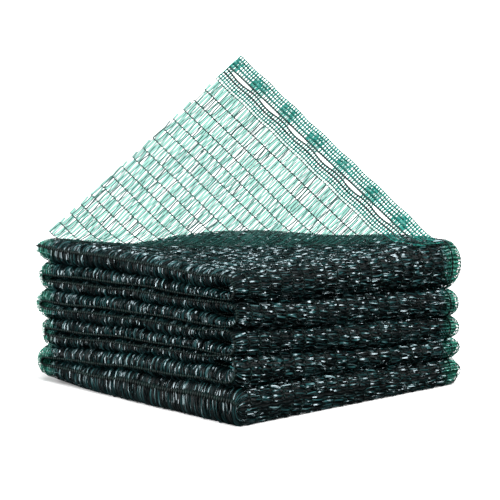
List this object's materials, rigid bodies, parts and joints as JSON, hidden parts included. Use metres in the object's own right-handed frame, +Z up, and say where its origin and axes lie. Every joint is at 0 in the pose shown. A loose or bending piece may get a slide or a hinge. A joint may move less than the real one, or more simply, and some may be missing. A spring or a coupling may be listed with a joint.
{
  "type": "folded shade cloth",
  "caption": "Knitted shade netting folded back and forth to a square packet, with one corner of the top ply lifted and a buttonhole band along its edge.",
  "frame": {"origin": "centre of the bounding box's underside, on the surface that the packet rests on", "axes": "+Z up; X follows the wales of the net and the back-and-forth of the folds; Y crosses them; the lifted corner stands over the packet's diagonal and leans towards -X and +Y"},
  "size_m": [0.3584, 0.3608, 0.3833],
  "materials": {
    "dark_green_net": "glossy flat tapes and threads of dark green polyethylene, knitted",
    "band_net": "glossy green polyethylene threads, knitted in small squares"
  },
  "bodies": {
    "root": {"packet": "dark_green_net", "lifted_corner": "dark_green_net", "buttonhole_band": "band_net"}
  },
  "joints": []
}
